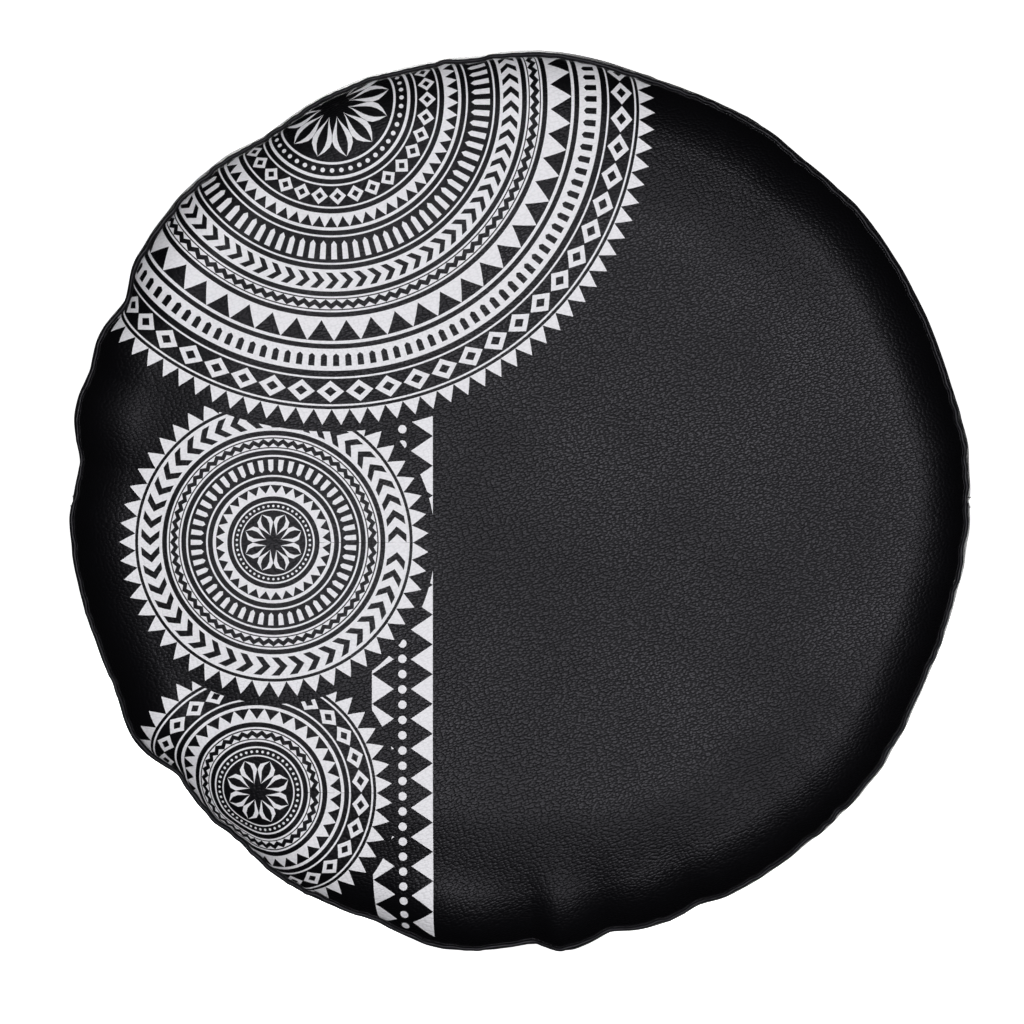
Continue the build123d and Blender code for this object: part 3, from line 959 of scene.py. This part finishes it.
def ring_stitches(name, s, pitch, lift, node, inward=False):
    count = int(TURN * profile(s)[0] / pitch)
    angle = (np.arange(count) + 0.5) / count * TURN
    spots = cloth(s, angle, lift)
    ways = cloth(s, angle + 0.001, lift) - cloth(s, angle - 0.001, lift)
    ups = cloth_normals(s, angle) * (-1 if inward else 1)
    return stitches(name, spots, ways, ups, pitch * 0.72, 0.75 * MM, node)


def joint_stitches():
    """Two rows of topstitching beside each joint of the band."""
    spots, ways, ups = [], [], []
    s = np.arange(S_SEAM + 7 * MM, S_HEM - 10 * MM, 4.6 * MM)
    for middle in (0, math.pi):
        for off in (-4 * MM, 4 * MM):
            angle = middle + off / OUTER_RADIUS
            spots.append(cloth(s, angle, 0.1 * MM))
            ways.append(cloth(s + MM, angle) - cloth(s - MM, angle))
            ups.append(cloth_normals(s, np.full_like(s, angle)))
    spots, ways, ups = (np.concatenate(a) for a in (spots, ways, ups))
    return stitches("band_joint_stitches", spots, ways, ups, 3.3 * MM, 0.75 * MM)


def flat_stitches(name, lines, depth, pitch, node):
    """Stitches along straight lines on the back, given as pairs of (x, z) ends."""
    spots, ways = [], []
    for start, end in lines:
        start, end = np.array(start), np.array(end)
        count = max(1, round(float(np.linalg.norm(end - start)) / pitch))
        for k in range(count):
            x, z = start + (end - start) * (k + 0.5) / count
            spots.append((x, depth, z))
            ways.append(((end - start)[0], 0, (end - start)[1]))
    return stitches(name, spots, ways, [(0, 1, 0)] * len(spots), pitch * 0.74, 0.7 * MM, node)


# ---------------------------------------------------------------- strap, patches, keeper and tag

def patch(name, node):
    """Reinforcing patch with rolled edges, drawn down a little along its stitches. Returns the
    middle and the reach of its row of edge stitches."""
    middle, half = middle_and_half(node)
    u, v = np.meshgrid(np.linspace(-1, 1, 45), np.linspace(-1, 1, 41), indexing="ij")
    reach = np.maximum(np.abs(u), np.abs(v))
    round_ = (np.abs(u) ** 7 + np.abs(v) ** 7) ** (1 / 7)
    share = np.where(round_ > 0, reach / np.maximum(round_, 1e-9), 1)
    x, z = middle.x + u * share * half.x, middle.z + v * share * half.z
    top = middle.y + half.y - 0.55 * MM * reach ** 14 - 0.25 * MM * hump(reach, 0.84, 0.05)
    top = top + 0.12 * MM * plane_noise(x, z, 71, 0.012, 0.03)
    under = np.full_like(x, middle.y - half.y - 0.2 * MM)
    sides = [np.stack([x, y, z], -1) for y in (top, under)]
    make_sheet(name, sides, False, BAND_VINYL, "band_vinyl", node)
    return (middle.x, middle.z), (half.x - 3 * MM, half.z - 3 * MM)


def box_lines(middle, half):
    (x, z), (a, b) = middle, half
    corners = [(x - a, z - b), (x + a, z - b), (x + a, z + b), (x - a, z + b)]
    return [(corners[k], corners[(k + 1) % 4]) for k in range(4)]


def strip_of_webbing(name, node, path, body="cover"):
    """Flat woven webbing along a path in the XY plane, with slanting ribs and soft edges."""
    rib_pitch, rib_height, rib_run = 3.2 * MM, 0.11 * MM, STRAP_HALF_WIDTH / 2
    line = np.asarray(path)
    steps = np.concatenate([[0], np.cumsum(np.linalg.norm(np.diff(line, axis=0), axis=1))])
    at = np.arange(0, steps[-1], 0.85 * MM)
    middle = np.stack([np.interp(at, steps, line[:, k]) for k in (0, 1)], -1)
    way = np.gradient(middle, axis=0)
    way /= np.linalg.norm(way, axis=1, keepdims=True)
    share = np.linspace(-1, 1, 33)
    across = share * STRAP_HALF_WIDTH
    half = STRAP_HALF_THICK * np.sqrt(np.clip(1 - np.abs(share) ** 16, 0.02, 1))
    slant = np.abs((across[None] / rib_run) % 2 - 1) * rib_run
    ribs = np.cos(TURN * (at[:, None] + slant) / rib_pitch)
    waver = 0.25 * MM * np.sin(at * 60)[:, None]
    sheets = []
    for side in (1, -1):
        height = side * (half[None] + rib_height * (ribs - 1))
        x = middle[:, :1] - way[:, 1:] * height
        y = middle[:, 1:] + way[:, :1] * height
        sheets.append(np.stack([x, y, np.broadcast_to(STRAP_Z + across[None] + waver, x.shape)], -1))
    return make_sheet(name, sheets, False, WEBBING, "webbing", node, body)


def strap_path(end_x, bar_x, side, tail):
    """Edge view of a strap: from its patch to the bar, round it and back as a second layer.
    side is 1 where the bar is on the patch's +X side, and -1 where it is on the other."""
    turn_radius = BUCKLE_Y - STRAP_Y
    second = STRAP_Y + 1.55 * MM
    points = [(end_x, STRAP_Y)]
    for k in range(13):
        turn = -math.pi / 2 + side * math.pi * k / 12
        points.append((bar_x + turn_radius * math.cos(turn), BUCKLE_Y + turn_radius * math.sin(turn)))
    falling = [(1.6, BUCKLE_Y + turn_radius - 0.1 * MM), (4.5, BUCKLE_Y + 1.5 * MM),
               (7.5, second + 0.25 * MM), (11, second)]
    for run, y in falling:
        points.append((bar_x - side * run * MM, y))
    points.append((bar_x - side * tail, second))
    return points


def straps():
    """Both straps with their patches, stitches, keeper and the blank tag."""
    left_end, right_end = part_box("strap_short")[0].x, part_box("strap_long")[1].x
    socket_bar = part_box("buckle_socket")[0].x + 1.8 * MM
    plug_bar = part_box("buckle_plug")[1].x - 1.4 * MM - 12 * MM
    short_path = strap_path(left_end, socket_bar, 1, 38 * MM)
    strip_of_webbing("strap_short_web", "strap_short", short_path)
    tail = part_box("buckle_plug")[1].x + 74.6 * MM - plug_bar
    long_path = strap_path(right_end, plug_bar, -1, tail)
    long_web = strip_of_webbing("strap_long_web", "strap_long", long_path, None)
    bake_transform(long_web)
    for side, word in ((-1, "left"), (1, "right")):
        middle, half = patch(f"patch_{word}", f"strap_patch_{word}")
        flat_stitches(f"patch_edge_stitches_{word}", box_lines(middle, half),
                      STRAP_Y - STRAP_HALF_THICK, 3.2 * MM, None)
        end = left_end if side < 0 else right_end
        centre = (end - side * 14 * MM, STRAP_Z)
        reach = (11 * MM, 9.3 * MM)
        lines = box_lines(centre, reach)
        (x, z), (a, b) = centre, reach
        lines += [((x - a, z - b), (x + a, z + b)), ((x - a, z + b), (x + a, z - b))]
        flat_stitches(f"box_stitches_{word}", lines, STRAP_Y + 0.72 * MM, 2.9 * MM, f"patch_thread_{word}")
    sewn_back = box_lines((socket_bar - 26 * MM, STRAP_Z), (8 * MM, 9.5 * MM))
    flat_stitches("strap_short_stitches", sewn_back, STRAP_Y + 2.27 * MM, 2.9 * MM, None)
    keeper()
    tag()


def keeper():
    """Elastic loop round both layers of the long strap; it goes with the plug."""
    middle, half = middle_and_half("strap_keeper")
    turn = even_turns(96)
    c, s = np.cos(turn)[None], np.sin(turn)[None]
    along = np.linspace(-1, 1, 25)[:, None]
    rib = 0.10 * MM * np.cos(along * 9 * math.pi) - 0.30 * MM * np.abs(along) ** 6
    sheets = []
    for inset, ribbed in ((0, 1), (1.1 * MM, 0)):
        shift = ribbed * rib - inset
        y = middle.y + (half.y + shift) * np.sign(c) * np.abs(c) ** 0.45
        z = middle.z + (half.z + shift) * np.sign(s) * np.abs(s) ** 0.28
        sheets.append(np.stack(np.broadcast_arrays(middle.x + half.x * along, y, z), -1))
    make_sheet("keeper_loop", sheets, True, KEEPER, "keeper_elastic", "strap_keeper", "plug")


def tag():
    """Blank satin tag, thinner at its outer end and lifting a little off the cloth."""
    turn = -math.radians(60)
    out, round_ = np.array([math.cos(turn), math.sin(turn)]), np.array([-math.sin(turn), math.cos(turn)])
    u, v = np.meshgrid(np.linspace(0, 1, 25), np.linspace(-1, 1, 31), indexing="ij")
    radius = 268 * MM + u * 24 * MM
    across = v * 17 * MM
    x = radius * out[0] + across * round_[0]
    z = radius * out[1] + across * round_[1]
    rise = HALF_WIDTH + (0.3 + 1.6 * u ** 2 + 0.5 * u * np.sin(2.4 * v + 0.6)) * MM
    sides = [np.stack([x, y, z], -1) for y in (rise + 0.35 * MM * (1 - 0.6 * u ** 20), rise)]
    make_sheet("blank_tag", sides, False, SATIN, "label_satin", "size_label")


# ---------------------------------------------------------------- stage, light and camera

def stage():
    """Pale floor and backdrop that don't shine on the cover."""
    floor_z = cad_bounds[0][2] - 1 * MM
    material = bpy.data.materials.new("studio_white")
    material.use_nodes = True
    shader = material.node_tree.nodes["Principled BSDF"]
    for socket, value in (
            ("Base Color", (0.9, 0.9, 0.9, 1)), ("Roughness", 0.9), ("Specular IOR Level", 0.0),
            ("Emission Color", (1, 1, 1, 1)), ("Emission Strength", 1.1)):
        shader.inputs[socket].default_value = value
    turns = even_turns(96)
    rings = [(0.02, 0), (3, 0), (9, 0), (12, 0.6), (14, 3), (14.5, 9), (12, 16), (0.02, 18)]
    points = [(r * math.cos(t), r * math.sin(t), floor_z + h) for r, h in rings for t in turns]
    mesh = bpy.data.meshes.new("studio")
    mesh.from_pydata(points, [], grid_faces(len(rings), 96, 0, True).tolist())
    mesh.materials.append(material)
    mesh.polygons.foreach_set("use_smooth", np.ones(len(mesh.polygons), bool))
    studio = bpy.data.objects.new("studio", mesh)
    bpy.context.scene.collection.objects.link(studio)
    studio.visible_diffuse = False
    studio.visible_glossy = False
    studio.visible_shadow = False


def soft_light(name, place, width, watts, past):
    """Square soft lamp aimed at the cover. It passes by what is in the collection past."""
    light = bpy.data.lights.new(name, "AREA")
    light.shape = "SQUARE"
    light.size = width
    light.energy = watts
    lamp = bpy.data.objects.new(name, light)
    lamp.location = place
    lamp.rotation_euler = (-lamp.location).to_track_quat("-Z", "Y").to_euler()
    bpy.context.scene.collection.objects.link(lamp)
    if past:
        lamp.light_linking.receiver_collection = past


def flagged_off(name, pieces):
    """Collection that keeps a lamp's light off some pieces."""
    flags = bpy.data.collections.new(name)
    for piece in pieces:
        flags.objects.link(piece)
    for entry in flags.collection_objects:
        entry.light_linking.link_state = "EXCLUDE"
    return flags


def lights(face, bead):
    """A soft key close to the camera's line, a weaker one high on its left, two behind the cover
    that are flagged off the piping, and lamps at both sides, above and below, which are flagged
    off the face panel as well."""
    past_rim = flagged_off("flagged_off_rim", [bead])
    past_front = flagged_off("flagged_off_front", [face, bead])
    for name, place, width, watts, past in (
            ("front_key", (0.42, -4.6, -0.05), 1.1, 178, None),
            ("grain_key", (-2.0, -3.8, 2.2), 0.5, 22, None),
            ("back_key", (-0.8, 3.6, 2.4), 1.9, 140, past_rim),
            ("back_fill", (1.6, 4.2, -1.0), 1.9, 65, past_rim),
            ("right_side", (4.1, -0.6, 0.8), 1.5, 85, past_front),
            ("left_side", (-4.1, -0.6, 0.3), 1.5, 80, past_front),
            ("top_side", (0.5, -0.6, 4.1), 1.3, 70, past_front),
            ("floor_bounce", (0.0, 0.0, -3.0), 2.2, 45, past_front)):
        soft_light(name, place, width, watts, past)
    world = bpy.data.worlds.new("studio_air")
    world.use_nodes = True
    air = world.node_tree.nodes["Background"].inputs
    air["Color"].default_value = (1, 1, 1, 1)
    air["Strength"].default_value = 0.007
    bpy.context.scene.world = world


def camera():
    """Long lens from the photograph's side: a little to the right of the axis and above it."""
    side, up, distance = math.radians(1.8), math.radians(1.8), 6.0
    data = bpy.data.cameras.new("camera")
    data.lens = 252
    data.sensor_width = 36
    data.clip_end = 60
    data.shift_x, data.shift_y = -0.0092, -0.0125
    eye = bpy.data.objects.new("camera", data)
    eye.location = (distance * math.sin(side) * math.cos(up), -distance * math.cos(side) * math.cos(up),
                    distance * math.sin(up))
    eye.rotation_euler = (-eye.location).to_track_quat("-Z", "Y").to_euler()
    bpy.context.scene.collection.objects.link(eye)
    bpy.context.scene.camera = eye
    bpy.context.scene.view_settings.view_transform = "Standard"


# ---------------------------------------------------------------- the cover

camera()
stage()
face = face_sheet()
upper = band_half("band_upper", "side_band_upper", 0.0)
lower = band_half("band_lower", "side_band_lower", math.pi)
casing, allowance = hem_pieces()
lights(face, piping())
joint_allowance = tapes()
hem_row = ring_stitches("hem_stitches", S_HEM_ROW, 5.0 * MM, 0.15 * MM, "hem_thread")
ring_stitches("seam_stitches", S_SEAM + 5 * MM, 4.0 * MM, -SKIN - 1.5 * MM, "face_seam_thread", True)
joint_row = joint_stitches()
straps()
for node in ("buckle_socket", "buckle_plug", "buckle_prong_upper", "buckle_prong_lower"):
    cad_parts[node].material_slots[0].material = PLASTIC
